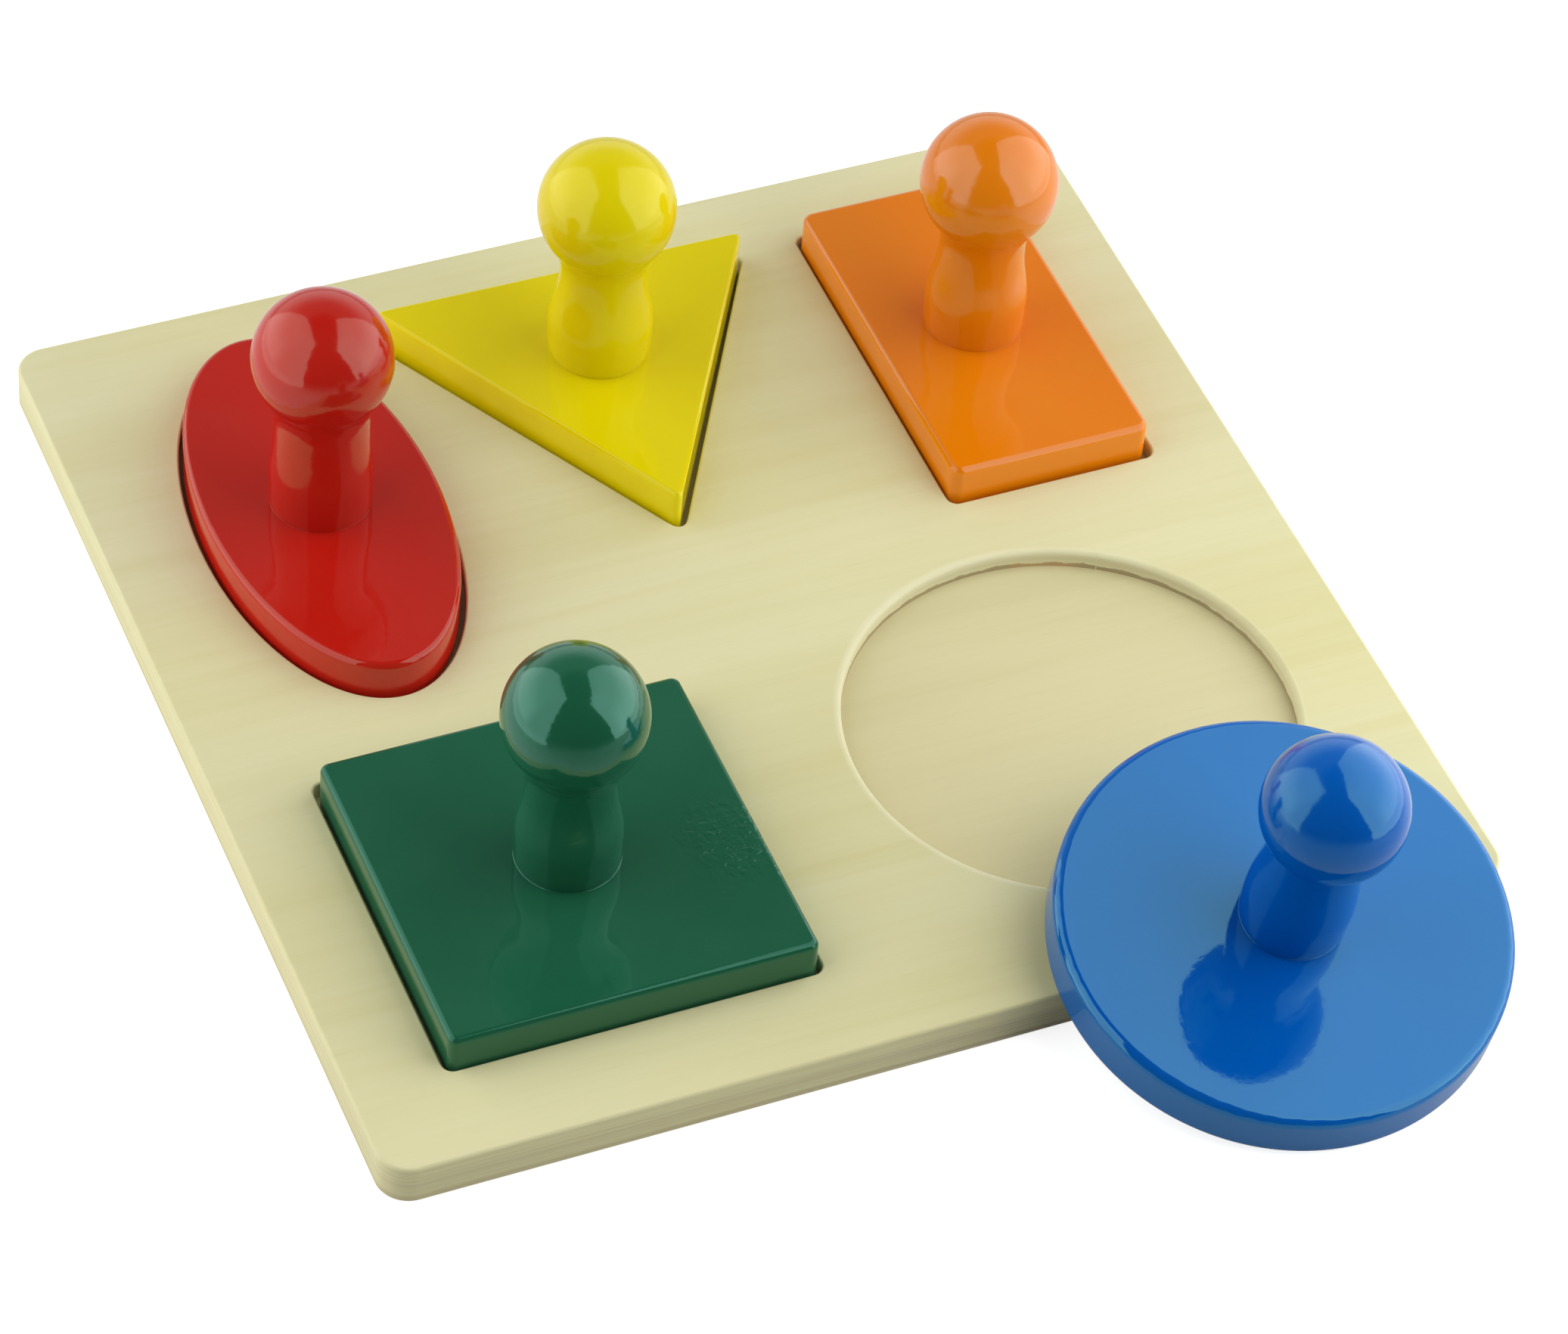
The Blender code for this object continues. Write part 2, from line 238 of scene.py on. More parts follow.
def noise(tree, vector, scale, detail, roughness=0.5, distortion=0.0):
    """A noise texture's value."""
    made = node(
        tree, "TexNoise", vector=vector, scale=scale, detail=detail, roughness=roughness,
        distortion=distortion
    )
    return made.outputs["Fac"]


def moved(tree, vector, offset):
    """Coordinates plus an offset."""
    made = node(tree, "VectorMath", {"operation": "ADD"})
    tree.links.new(vector, made.inputs[0])
    tree.links.new(offset, made.inputs[1])
    return made.outputs[0]


def near_to(tree, vector, middle, inner, outer):
    """1 within the inner distance of a middle point, fading to 0 at the outer."""
    apart = node(tree, "VectorMath", {"operation": "DISTANCE"})
    tree.links.new(vector, apart.inputs[0])
    tree.links.new(middle, apart.inputs[1])
    return spread(tree, apart.outputs["Value"], inner, outer, 1.0, 0.0)


def build_birch_grain():
    """Sanded birch veneer: soft cloudy and banded grain and fine pores along X, a few dark pin specks, and a
    painted shade that makes it warmer and darker towards the front.
    """
    tree, given, out = new_group(
        "birch grain",
        [("Pale", "Color", None), ("Warm", "Color", None), ("Speck", "Color", None),
         ("Offset", "Vector", None), ("Speck Amount", "Float", 1.0)],
        [("Color", "Color"), ("Roughness", "Float"), ("Height", "Float")],
    )
    spot = node(tree, "TexCoord").outputs["Object"]
    depth = node(tree, "SeparateXYZ", vector=spot).outputs["Y"]
    # Painted shade: the wood turns warmer and darker towards the front of the board, where less light falls
    towards_front = spread(tree, depth, -0.16, 0.12, 0.35, 0.0)
    place = moved(tree, spot, given.outputs["Offset"])
    clouds = noise(tree, stretched(tree, place, (4, 14, 14)), 1.0, 3, 0.55, 0.6)
    bands = noise(tree, stretched(tree, place, (1.6, 42, 42)), 1.0, 4, 0.55, 1.2)
    fibres = noise(tree, stretched(tree, place, (22, 620, 620)), 1.0, 3, 0.6)
    pores = noise(tree, stretched(tree, place, (70, 1400, 1400)), 1.0, 1, 0.5)
    cloudy = spread(tree, clouds, 0.34, 0.72, 0.0, 0.45)
    banded = spread(tree, bands, 0.40, 0.75, 0.0, 0.45)
    figure_and_front_shade = maths(tree, "ADD", maths(tree, "ADD", cloudy, banded), towards_front, clamp=True)
    colour = mixed(tree, figure_and_front_shade, given.outputs["Pale"], given.outputs["Warm"])
    fibre_mask = spread(tree, fibres, 0.40, 0.75, 0.0, 0.05)
    colour = mixed(tree, fibre_mask, colour, given.outputs["Warm"], "MULTIPLY")
    pore_mask = spread(tree, pores, 0.68, 0.80, 0.0, 0.10)
    colour = mixed(tree, pore_mask, colour, given.outputs["Warm"], "MULTIPLY")
    cells = node(tree, "TexVoronoi", vector=place, scale=42.0)
    chosen = node(tree, "SeparateColor", color=cells.outputs["Color"]).outputs[0]
    near = spread(tree, cells.outputs["Distance"], 0.010, 0.022, 1.0, 0.0)
    speck = maths(tree, "MULTIPLY", near, maths(tree, "GREATER_THAN", chosen, 0.80))
    speck = maths(tree, "MULTIPLY", speck, given.outputs["Speck Amount"])
    colour = mixed(tree, maths(tree, "MULTIPLY", speck, 0.55), colour, given.outputs["Speck"])
    tree.links.new(colour, out.inputs["Color"])
    tree.links.new(spread(tree, fibres, 0.3, 0.7, 0.50, 0.62), out.inputs["Roughness"])
    height = maths(tree, "SUBTRACT", fibres, maths(tree, "ADD", pore_mask, speck))
    tree.links.new(height, out.inputs["Height"])
    return tree


def build_ply_edge():
    """A sawn plywood edge: uneven plies stacked along Z, pale lines between, and a glued recess with a
    painted highlight along its lip.
    """
    tree, given, out = new_group(
        "ply edge",
        [("Face", "Color", None), ("Brown", "Color", None), ("Pale", "Color", None),
         ("Glue", "Color", None), ("Rust", "Color", None), ("Ply Pitch", "Float", PLY_PITCH),
         ("Lines Below", "Float", 0.012), ("Glue Middle", "Vector", None), ("Glue Top", "Float", 0.0),
         ("Nick At", "Float", 1.0)],
        [("Color", "Color"), ("Height", "Float"), ("Lip Highlight", "Float")],
    )
    place = node(tree, "TexCoord").outputs["Object"]

    # Plies, each with its own tone, and a pale line at each joint
    wave = noise(tree, stretched(tree, place, (9, 9, 0)), 1.0, 2, 0.5)
    parts = node(tree, "SeparateXYZ", vector=place)
    level = maths(tree, "MULTIPLY_ADD", maths(tree, "SUBTRACT", wave, 0.5), 0.0008, parts.outputs["Z"])
    ply = maths(tree, "DIVIDE", level, given.outputs["Ply Pitch"])
    within = maths(tree, "FRACT", ply)
    from_core = maths(tree, "ABSOLUTE", maths(tree, "SUBTRACT", within, 0.5))
    line = spread(tree, from_core, 0.28, 0.46, 0.0, 1.0)
    ply_tone = noise(tree, node(tree, "CombineXYZ", z=maths(tree, "FLOOR", ply)).outputs[0], 3.7, 0)
    bands = noise(tree, stretched(tree, place, (5, 5, 900)), 1.0, 2, 0.5)
    streaks = noise(tree, stretched(tree, place, (40, 40, 1500)), 1.0, 3, 0.6)
    fading = noise(tree, stretched(tree, place, (22, 22, 260)), 1.0, 2, 0.5)
    towards_right = spread(tree, parts.outputs["X"], -0.14, 0.02, 0.35, 1.0)
    lined = maths(tree, "LESS_THAN", level, given.outputs["Lines Below"])
    lined = maths(tree, "MULTIPLY", lined, towards_right)
    browned = maths(tree, "MULTIPLY", spread(tree, ply_tone, 0.30, 0.70, 0.0, 0.60), lined)
    colour = mixed(tree, browned, given.outputs["Face"], given.outputs["Brown"])
    colour = mixed(tree, spread(tree, bands, 0.42, 0.72, 0.0, 0.35), colour, given.outputs["Brown"])
    colour = mixed(tree, spread(tree, streaks, 0.38, 0.75, 0.0, 0.20), colour, given.outputs["Brown"])
    colour = mixed(tree, spread(tree, level, 0.0004, 0.0030, 0.40, 0.0), colour, given.outputs["Brown"])
    faded = spread(tree, fading, 0.35, 0.62, 0.0, 0.9)
    pale_line = maths(tree, "MULTIPLY", maths(tree, "MULTIPLY", line, lined), faded)
    colour = mixed(tree, pale_line, colour, given.outputs["Pale"])

    # The round recess: a paler wall, and a painted highlight along its lip, strongest at its left
    in_recess = near_to(tree, place, given.outputs["Glue Middle"], *WALL_REACH)
    colour = mixed(tree, maths(tree, "MULTIPLY", in_recess, WALL_PALENESS), colour, given.outputs["Pale"])
    above_glue = maths(tree, "SUBTRACT", parts.outputs["Z"], given.outputs["Glue Top"])
    lip = spread(tree, above_glue, 0.0008, 0.0024)
    around = near_to(tree, place, given.outputs["Glue Middle"], *LIP_REACH)
    more_at_left = spread(tree, parts.outputs["X"], 0.065, 0.105, 1.0, 0.25)
    lip_highlight = maths(tree, "MULTIPLY", maths(tree, "MULTIPLY", around, lip), more_at_left)

    # Glue pressed out at the wall's foot, with a rusty stretch left of a nick
    blots = maths(tree, "SUBTRACT", noise(tree, place, 260.0, 2, 0.6), 0.5)
    glue_level = maths(tree, "MULTIPLY_ADD", blots, GLUE_UNEVENNESS, given.outputs["Glue Top"])
    glued = maths(tree, "MULTIPLY", maths(tree, "LESS_THAN", parts.outputs["Z"], glue_level), in_recess)
    left_of_nick = maths(tree, "SUBTRACT", given.outputs["Nick At"], parts.outputs["X"])
    aside = maths(tree, "ABSOLUTE", left_of_nick)
    from_rust = maths(tree, "ABSOLUTE", maths(tree, "SUBTRACT", left_of_nick, NICK_TO_RUST))
    rusty = spread(tree, from_rust, 0.006, 0.011, 0.8, 0.0)
    glue = mixed(tree, rusty, given.outputs["Glue"], given.outputs["Rust"])
    colour = mixed(tree, maths(tree, "MULTIPLY", glued, GLUE_SHARE), colour, glue)
    at_back = maths(tree, "GREATER_THAN", parts.outputs["Y"], -0.05)
    thin = maths(tree, "LESS_THAN", aside, NICK_WIDTH / 2)
    nick = maths(tree, "MULTIPLY", thin, maths(tree, "MULTIPLY", in_recess, at_back))
    colour = mixed(tree, maths(tree, "MULTIPLY", nick, NICK_SHARE), colour, given.outputs["Pale"])
    lip_highlight = maths(tree, "MULTIPLY", lip_highlight, maths(tree, "SUBTRACT", 1.0, nick))

    height = maths(tree, "ADD", streaks, maths(tree, "SUBTRACT", pale_line, nick))
    for label, value in (("Color", colour), ("Height", height), ("Lip Highlight", lip_highlight)):
        tree.links.new(value, out.inputs[label])
    return tree


def birch_plywood(name, pale, warm, offset, lines_below, glue_middle=(0, 0, 9), glue_top=0.0, nick_at=9.0):
    """The material of one sheet: veneer on its faces, plies on its edges."""
    material = bpy.data.materials.new(name)
    material.use_nodes = True
    tree = material.node_tree
    skin = tree.nodes["Principled BSDF"]
    skin.inputs["Specular IOR Level"].default_value = 0.30
    grain = node(tree, "Group", {"node_tree": BIRCH_GRAIN})
    for label, colour in (("Pale", pale), ("Warm", warm), ("Speck", SPECK_BROWN)):
        grain.inputs[label].default_value = (*colour, 1.0)
    grain.inputs["Offset"].default_value = offset
    edge = node(tree, "Group", {"node_tree": PLY_EDGE})
    for label, colour in EDGE_COLOURS:
        edge.inputs[label].default_value = (*colour, 1.0)
    edge.inputs["Lines Below"].default_value = lines_below
    edge.inputs["Glue Middle"].default_value = glue_middle
    edge.inputs["Glue Top"].default_value = glue_top
    edge.inputs["Nick At"].default_value = nick_at
    facing = node(tree, "SeparateXYZ", vector=node(tree, "TexCoord").outputs["Normal"]).outputs["Z"]
    side = spread(tree, maths(tree, "ABSOLUTE", facing), 0.30, 0.80, 1.0, 0.0)
    wood = mixed(tree, side, grain.outputs["Color"], edge.outputs["Color"])
    # The painted highlight along the round lip, blended towards the paler birch
    lip_highlight = maths(tree, "MULTIPLY", edge.outputs["Lip Highlight"], LIP_HIGHLIGHT_SHARE)
    tree.links.new(mixed(tree, lip_highlight, wood, (*LIP_HIGHLIGHT_BIRCH, 1.0)), skin.inputs["Base Color"])
    tree.links.new(grain.outputs["Roughness"], skin.inputs["Roughness"])
    height = node(tree, "Mix", {"data_type": "FLOAT"})
    for index, value in ((0, side), (2, grain.outputs["Height"]), (3, edge.outputs["Height"])):
        tree.links.new(value, height.inputs[index])
    bump = node(tree, "Bump", strength=0.35, distance=0.00012, height=height.outputs[0])
    tree.links.new(bump.outputs["Normal"], skin.inputs["Normal"])
    return material


EDGE_COLOURS = (
    ("Face", EDGE_BIRCH), ("Brown", PLY_BROWN), ("Pale", PLY_PALE),
    ("Glue", GLUE_BROWN), ("Rust", GLUE_RUST),
)
BIRCH_GRAIN = build_birch_grain()
PLY_EDGE = build_ply_edge()

base_low, base_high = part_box("board_base_sheet")
base_sheet = add_block("base_sheet", base_low + BOARD_TRIM_LOW, base_high - BOARD_TRIM_HIGH)
round_edges(base_sheet, upright, BOARD_CORNER_RADIUS, CORNER_SEGMENTS)
round_edges(base_sheet, rim_at(base_low.z), BOARD_EDGE_ROUNDING, ROUNDING_SEGMENTS)
shade(base_sheet)
base_sheet.data.materials.append(
    birch_plywood("birch base sheet", FLOOR_PALE, FLOOR_WARM, (3.1, 0.7, 0.0), base_high.z)
)
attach(base_sheet, "board")
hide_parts("board_base_sheet")


# Top panel
# The upper plywood sheet, with the five cut-outs that the shapes lie in. Its rim and the lips of the
# cut-outs are rounded over and sanded. It is glued to the base sheet, and glue shows in the round one.

RECESS_CLEARANCE = 0.0013
RECESS_CORNER_RADIUS = 0.0028
RECESS_LIP_ROUNDING = 0.0007
ROUND_LIP_ROUNDING = 0.0014
RECESS_SEGMENTS = 8
ROUND_SEGMENTS = 160
THROUGH = 0.002
GLUE_LINE = 0.00001
GLUE_HEIGHT = 0.0013
NICK_AT = 0.0966
TRIANGLE_SIDE = 0.1062
TRIANGLE_TURN = radians(-0.5)

# Where each shape lies in its cut-out, as shares of the clearance, from the middle
SQUARE_LIE = Vector((-0.1, -0.65))
OVAL_LIE = Vector((-0.15, 0.1))
TRIANGLE_LIE = Vector((0.05, 0.0))
RECTANGLE_LIE = Vector((-0.4, 0.10))


def middle_of(node_name):
    low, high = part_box(node_name)
    return (low + high) / 2


def size_of(node_name):
    low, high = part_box(node_name)
    return high - low


def add_oval(name, width, length, low, high, centre):
    """An upright cylinder primitive, drawn out to an oval."""
    deselect_all()
    bpy.ops.mesh.primitive_cylinder_add(
        vertices=ROUND_SEGMENTS, radius=0.5, depth=high - low, location=(*centre, (low + high) / 2),
        scale=(width, length, 1)
    )
    piece = bpy.context.object
    piece.name = piece.data.name = name
    bpy.ops.object.transform_apply(location=True, rotation=True, scale=True)
    return piece


def add_triangle(name, side, low, high, centre, turn):
    """A three-sided cylinder primitive, with one corner towards -Y."""
    deselect_all()
    bpy.ops.mesh.primitive_cylinder_add(
        vertices=3, radius=side / sqrt(3), depth=high - low, location=(*centre, (low + high) / 2),
        rotation=(0, 0, pi + turn)
    )
    piece = bpy.context.object
    piece.name = piece.data.name = name
    bpy.ops.object.transform_apply(location=True, rotation=True, scale=True)
    return piece


def round_corners(piece, radius, segments, inner_angle=pi / 2):
    """Rounds the upright edges to a radius, for corners of an inner angle."""
    round_edges(piece, upright, radius / tan(inner_angle / 2), segments)


def add_tile(name, width, length, low, high, centre, radius, segments):
    """A block with rounded corners."""
    half = Vector((width / 2, length / 2))
    piece = add_block(name, Vector((*(centre - half), low)), Vector((*(centre + half), high)))
    round_corners(piece, radius, segments)
    return piece


panel_low, panel_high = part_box("board_top_panel")
panel_low.z = base_high.z + GLUE_LINE
top_panel = add_block("top_panel", panel_low + BOARD_TRIM_LOW, panel_high - BOARD_TRIM_HIGH)
round_edges(top_panel, upright, BOARD_CORNER_RADIUS, CORNER_SEGMENTS)
round_edges(top_panel, rim_at(panel_high.z), BOARD_EDGE_ROUNDING, ROUNDING_SEGMENTS)

play = 2 * RECESS_CLEARANCE
cut_low, cut_high = panel_low.z - THROUGH, panel_high.z + THROUGH
openings = {opening["name"]: opening["box_m"] for opening in frame["record"]["physics"]["openings"]}
opening_low, opening_high = openings["round_recess"]
disc_recess = (Vector(opening_low) + Vector(opening_high)).xy / 2
disc_width = size_of("disc_plate").x + play
carve(top_panel, add_oval("disc_cutter", disc_width, disc_width, cut_low, cut_high, disc_recess))

for shape, lie in (("square", SQUARE_LIE), ("rectangle", RECTANGLE_LIE)):
    size = size_of(shape + "_plate")
    centre = middle_of(shape + "_plate").xy - RECESS_CLEARANCE * lie
    carve(top_panel, add_tile(
        shape + "_cutter", size.x + play, size.y + play, cut_low, cut_high, centre,
        RECESS_CORNER_RADIUS, RECESS_SEGMENTS
    ))

size = size_of("oval_plate")
centre = middle_of("oval_plate").xy - RECESS_CLEARANCE * OVAL_LIE
carve(top_panel, add_oval("oval_cutter", size.x + play, size.y + play, cut_low, cut_high, centre))

centre = middle_of("triangle_knob").xy - RECESS_CLEARANCE * TRIANGLE_LIE
triangle_cutter = add_triangle(
    "triangle_cutter", TRIANGLE_SIDE + sqrt(3) * play, cut_low, cut_high, centre, 0
)
round_corners(triangle_cutter, RECESS_CORNER_RADIUS, RECESS_SEGMENTS, radians(60))
carve(top_panel, triangle_cutter)


def recess_lip(round_one):
    """A test for the lip of the round cut-out, or for those of the other four."""
    def wanted(edge):
        place = edge.verts[0].co
        inside = max(abs(place.x), abs(place.y)) < panel_high.x - BOARD_CORNER_RADIUS
        at_disc = (place.xy - disc_recess).length < disc_width / 2 + THROUGH
        return rim_at(panel_high.z)(edge) and inside and at_disc == round_one
    return wanted


round_edges(top_panel, recess_lip(False), RECESS_LIP_ROUNDING, ROUNDING_SEGMENTS)
round_edges(top_panel, recess_lip(True), ROUND_LIP_ROUNDING, ROUNDING_SEGMENTS)
shade(top_panel)
top_panel.data.materials.append(
    birch_plywood(
        "birch top panel", PALE_BIRCH, WARM_BIRCH, (0.0, 0.0, 0.0), panel_low.z,
        (*disc_recess, panel_low.z), panel_low.z + GLUE_HEIGHT, NICK_AT
    )
)
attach(top_panel, "board")
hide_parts("board_top_panel")


# Shapes
# Five thick plates of solid wood, sawn, rounded over and painted in gloss enamel. Each has a blind
# countersunk hole beneath for the screw that holds its knob.

PLATE_EDGE_ROUNDING = 0.0018
TRIANGLE_EDGE_ROUNDING = 0.0012
DISC_EDGE_ROUNDING = 0.0026
SQUARE_CORNER_RADIUS = 0.0025
RECTANGLE_CORNER_RADIUS = 0.0032
TRIANGLE_CORNER_RADIUS = 0.0017
SCREW_HEAD_RADIUS = 0.0041
SCREW_RADIUS = 0.0020
SCREW_GAP = 0.0003
SCREW_INSET = 0.0004
PLATE_SEGMENTS = 6
HOLE_SPIN_STEPS = 48
# The painted disc is a little wider than its CAD node, and reaches further up the slope
DISC_EXTRA = 0.0005
DISC_RISE = 0.00035
# Where the paint wrinkled as it dried on the square's face
RIPPLE_MIDDLE = (-0.0345, -0.0825, 0.0218)
RIPPLE_REACH = (0.005, 0.021)
RIPPLE_HEIGHT = 34.0
# How far apart the coats' mottling is taken, so that no two look alike
COAT_SHIFT = 0.37
PLATE_PEEL = 1.0
PLATE_HAZE = 0.05

# Each shape's enamel: the paint, its tone where it is thin, a lighter tone on the sawn sides that is
# painted light, as if more light fell on them, the tint of its shine, and the index that sets how
# glossy the plate and the knob came out
COATS = {
    "square": {
        "colour": "green", "paint": (0.0095, 0.094, 0.044), "thin": (0.020, 0.118, 0.060),
        "side": (0.024, 0.116, 0.052), "sheen": (0.42, 1.0, 0.84), "plate": 1.53, "knob": 1.69,
    },
    "oval": {
        "colour": "red", "paint": (0.48, 0.010, 0.005), "thin": (0.46, 0.022, 0.012),
        "side": (0.53, 0.012, 0.005), "sheen": (0.8, 0.97, 0.80), "plate": 1.52, "knob": 1.54,
    },
    "triangle": {
        "colour": "yellow", "paint": (0.75, 0.635, 0.0015), "thin": (0.74, 0.60, 0.004),
        "side": (0.93, 0.80, 0.0015), "sheen": (0.95, 1.0, 0.50), "plate": 1.50, "knob": 1.53,
    },
    "rectangle": {
        "colour": "orange", "paint": (0.76, 0.196, 0.0012), "thin": (0.72, 0.225, 0.006),
        "side": (0.88, 0.245, 0.0012), "sheen": (0.75, 1.0, 0.95), "plate": 1.55, "knob": 1.58,
    },
    "disc": {
        "colour": "blue", "paint": (0.0, 0.088, 0.43), "thin": (0.0, 0.106, 0.45),
        "side": (0.0, 0.118, 0.44), "sheen": (0.40, 1.0, 0.74), "plate": 1.73, "knob": 1.62,
    },
}


def build_enamel():
    """Brushed gloss enamel: slight mottling, orange peel, a few dust grains under the paint, and sides
    painted lighter as painted light.
    """
    tree, given, out = new_group(
        "gloss enamel",
        [("Paint", "Color", None), ("Thin Paint", "Color", None), ("Lit Side Paint", "Color", None),
         ("Peel", "Float", 1.0), ("Haze", "Float", 0.05), ("Offset", "Vector", None),
         ("Ripple Middle", "Vector", None)],
        [("Color", "Color"), ("Roughness", "Float"), ("Height", "Float")],
    )
    spot = node(tree, "TexCoord").outputs["Object"]
    place = moved(tree, spot, given.outputs["Offset"])
    rippled = near_to(tree, spot, given.outputs["Ripple Middle"], *RIPPLE_REACH)
    wrinkles = noise(tree, place, 420.0, 1, 0.5, 0.6)
    mottling = noise(tree, place, 38.0, 3, 0.55)
    peel = noise(tree, place, 420.0, 2, 0.5)
    swell = noise(tree, place, 120.0, 1, 0.5)
    cells = node(tree, "TexVoronoi", vector=place, scale=70.0)
    chosen = node(tree, "SeparateColor", color=cells.outputs["Color"]).outputs[0]
    near = spread(tree, cells.outputs["Distance"], 0.012, 0.03, 1.0, 0.0)
    dust = maths(tree, "MULTIPLY", near, maths(tree, "GREATER_THAN", chosen, 0.86))
    facing = node(tree, "SeparateXYZ", vector=node(tree, "TexCoord").outputs["Normal"]).outputs["Z"]
    upward = spread(tree, maths(tree, "ABSOLUTE", facing), 0.25, 0.75)
    # Painted light: the upright sides take a lighter tone, as if more light fell on them
    body = mixed(tree, upward, given.outputs["Lit Side Paint"], given.outputs["Paint"])
    colour = mixed(tree, spread(tree, mottling, 0.35, 0.7, 0.0, 0.30), body, given.outputs["Thin Paint"])
    colour = mixed(tree, maths(tree, "MULTIPLY", dust, 0.25), colour, given.outputs["Thin Paint"], "SCREEN")
    tree.links.new(colour, out.inputs["Color"])
    haze = spread(tree, mottling, 0.3, 0.7, 0.8, 1.3)
    tree.links.new(maths(tree, "MULTIPLY", haze, given.outputs["Haze"]), out.inputs["Roughness"])
    ripple = maths(tree, "MULTIPLY_ADD", swell, 1.6, peel)
    ripple = maths(tree, "MULTIPLY", ripple, given.outputs["Peel"])
    ripple = maths(tree, "MULTIPLY_ADD", maths(tree, "MULTIPLY", rippled, wrinkles), RIPPLE_HEIGHT, ripple)
    tree.links.new(maths(tree, "MULTIPLY_ADD", dust, 1.5, ripple), out.inputs["Height"])
    return tree


def enamel(name, coat, lit_side_paint, gloss, peel, haze, offset, ripple_middle=(0, 0, 9)):
    """One coat of enamel, with its own mottling at an offset, and wrinkled near a point where it is given."""
    material = bpy.data.materials.new(name)
    material.use_nodes = True
    tree = material.node_tree
    skin = tree.nodes["Principled BSDF"]
    skin.inputs["IOR"].default_value = gloss
    skin.inputs["Specular Tint"].default_value = (*coat["sheen"], 1.0)
    coating = node(tree, "Group", {"node_tree": ENAMEL})
    for label, paint in (("Paint", coat["paint"]), ("Thin Paint", coat["thin"]), ("Lit Side Paint", lit_side_paint)):
        coating.inputs[label].default_value = (*paint, 1.0)
    coating.inputs["Peel"].default_value = peel
    coating.inputs["Haze"].default_value = haze
    coating.inputs["Offset"].default_value = offset
    coating.inputs["Ripple Middle"].default_value = ripple_middle
    tree.links.new(coating.outputs["Color"], skin.inputs["Base Color"])
    tree.links.new(coating.outputs["Roughness"], skin.inputs["Roughness"])
    bump = node(tree, "Bump", strength=0.20, distance=0.00008, height=coating.outputs["Height"])
    tree.links.new(bump.outputs["Normal"], skin.inputs["Normal"])
    return material


def turned(name, profile, steps):
    """A turned piece: one vertex extruded along (radius, height) points, and the line spun round Z."""
    deselect_all()
    bpy.ops.mesh.primitive_plane_add(size=0.01)
    piece = bpy.context.object
    piece.name = piece.data.name = name
    bpy.ops.object.mode_set(mode="EDIT")
    bpy.ops.mesh.select_mode(type="VERT")
    bpy.ops.mesh.select_all(action="SELECT")
    bpy.ops.mesh.merge(type="CENTER")
    here = Vector((0, 0, 0))
    for radius, height in profile:
        there = Vector((radius, 0, height))
        if (radius, height) == profile[0]:
            bpy.ops.transform.translate(value=there)
        else:
            bpy.ops.mesh.extrude_region_move(TRANSFORM_OT_translate={"value": there - here})
        here = there
    bpy.ops.mesh.select_all(action="SELECT")
    bpy.ops.mesh.spin(steps=steps, angle=2 * pi, center=(0, 0, 0), axis=(0, 0, 1))
    bpy.ops.mesh.select_all(action="SELECT")
    bpy.ops.mesh.remove_doubles(threshold=0.000005)
    bpy.ops.mesh.normals_make_consistent(inside=False)
    bpy.ops.object.mode_set(mode="OBJECT")
    return piece


def put(piece, placement):
    """Moves a piece to its place, and keeps that place in its mesh."""
    piece.data.transform(placement)
    piece.data.update()
    return piece


def screw_hole(thickness):
    """The cutter of the countersunk hole, from the plate's underside at z = 0."""
    shank = SCREW_RADIUS + SCREW_GAP
    rim = SCREW_HEAD_RADIUS + SCREW_GAP
    head_face = SCREW_INSET + SCREW_GAP
    past = thickness + SCREW_GAP
    profile = [
        (0, past), (shank, past), (shank, head_face + rim - shank),
        (rim, head_face), (rim, -past), (0, -past),
    ]
    return turned("screw_hole", profile, HOLE_SPIN_STEPS)


ENAMEL = build_enamel()
plate_low, plate_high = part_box("square_plate")
PLATE_THICKNESS = plate_high.z - plate_low.z


def leaning():
    """The disc's tilt and the middle of its underside on its slope, worked out from the CAD plate's box."""
    low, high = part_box("disc_plate")
    rounding = 2 * PLATE_EDGE_ROUNDING
    extent = high - low
    face, wall = extent.x - rounding, PLATE_THICKNESS - rounding
    across, rise = extent.y - rounding, extent.z - rounding
    total = (rise + across) / (face + wall)
    difference = (across - rise) / (face - wall)
    tilt = atan2(total - difference, total + difference)
    turn = Matrix.Rotation(tilt, 4, "X")
    shift = Matrix.Translation((0, DISC_RISE, -PLATE_THICKNESS / 2))
    return Matrix.Translation((low + high) / 2) @ turn @ shift


def standing(shape):
    """The place of a seated shape: the middle of its underside, at its knob's axis."""
    axis = middle_of(shape + "_knob")
    return Matrix.Translation((axis.x, axis.y, plate_low.z))


disc_place = leaning()
ball_low, ball_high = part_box("disc_knob")
BALL_RADIUS = (ball_high.x - ball_low.x) / 2
disc_ball = Vector(((ball_low.x + ball_high.x) / 2, ball_low.y + BALL_RADIUS, ball_high.z - BALL_RADIUS))
disc_offset = (disc_place.inverted() @ disc_ball).xy
places = {shape: standing(shape) for shape in ("square", "oval", "triangle", "rectangle")}
places["disc"] = disc_place
knob_offsets = {"disc": disc_offset}
corner_radii = {"square": SQUARE_CORNER_RADIUS, "rectangle": RECTANGLE_CORNER_RADIUS}
roundings = {"triangle": TRIANGLE_EDGE_ROUNDING, "disc": DISC_EDGE_ROUNDING}
middle = Vector((0, 0))


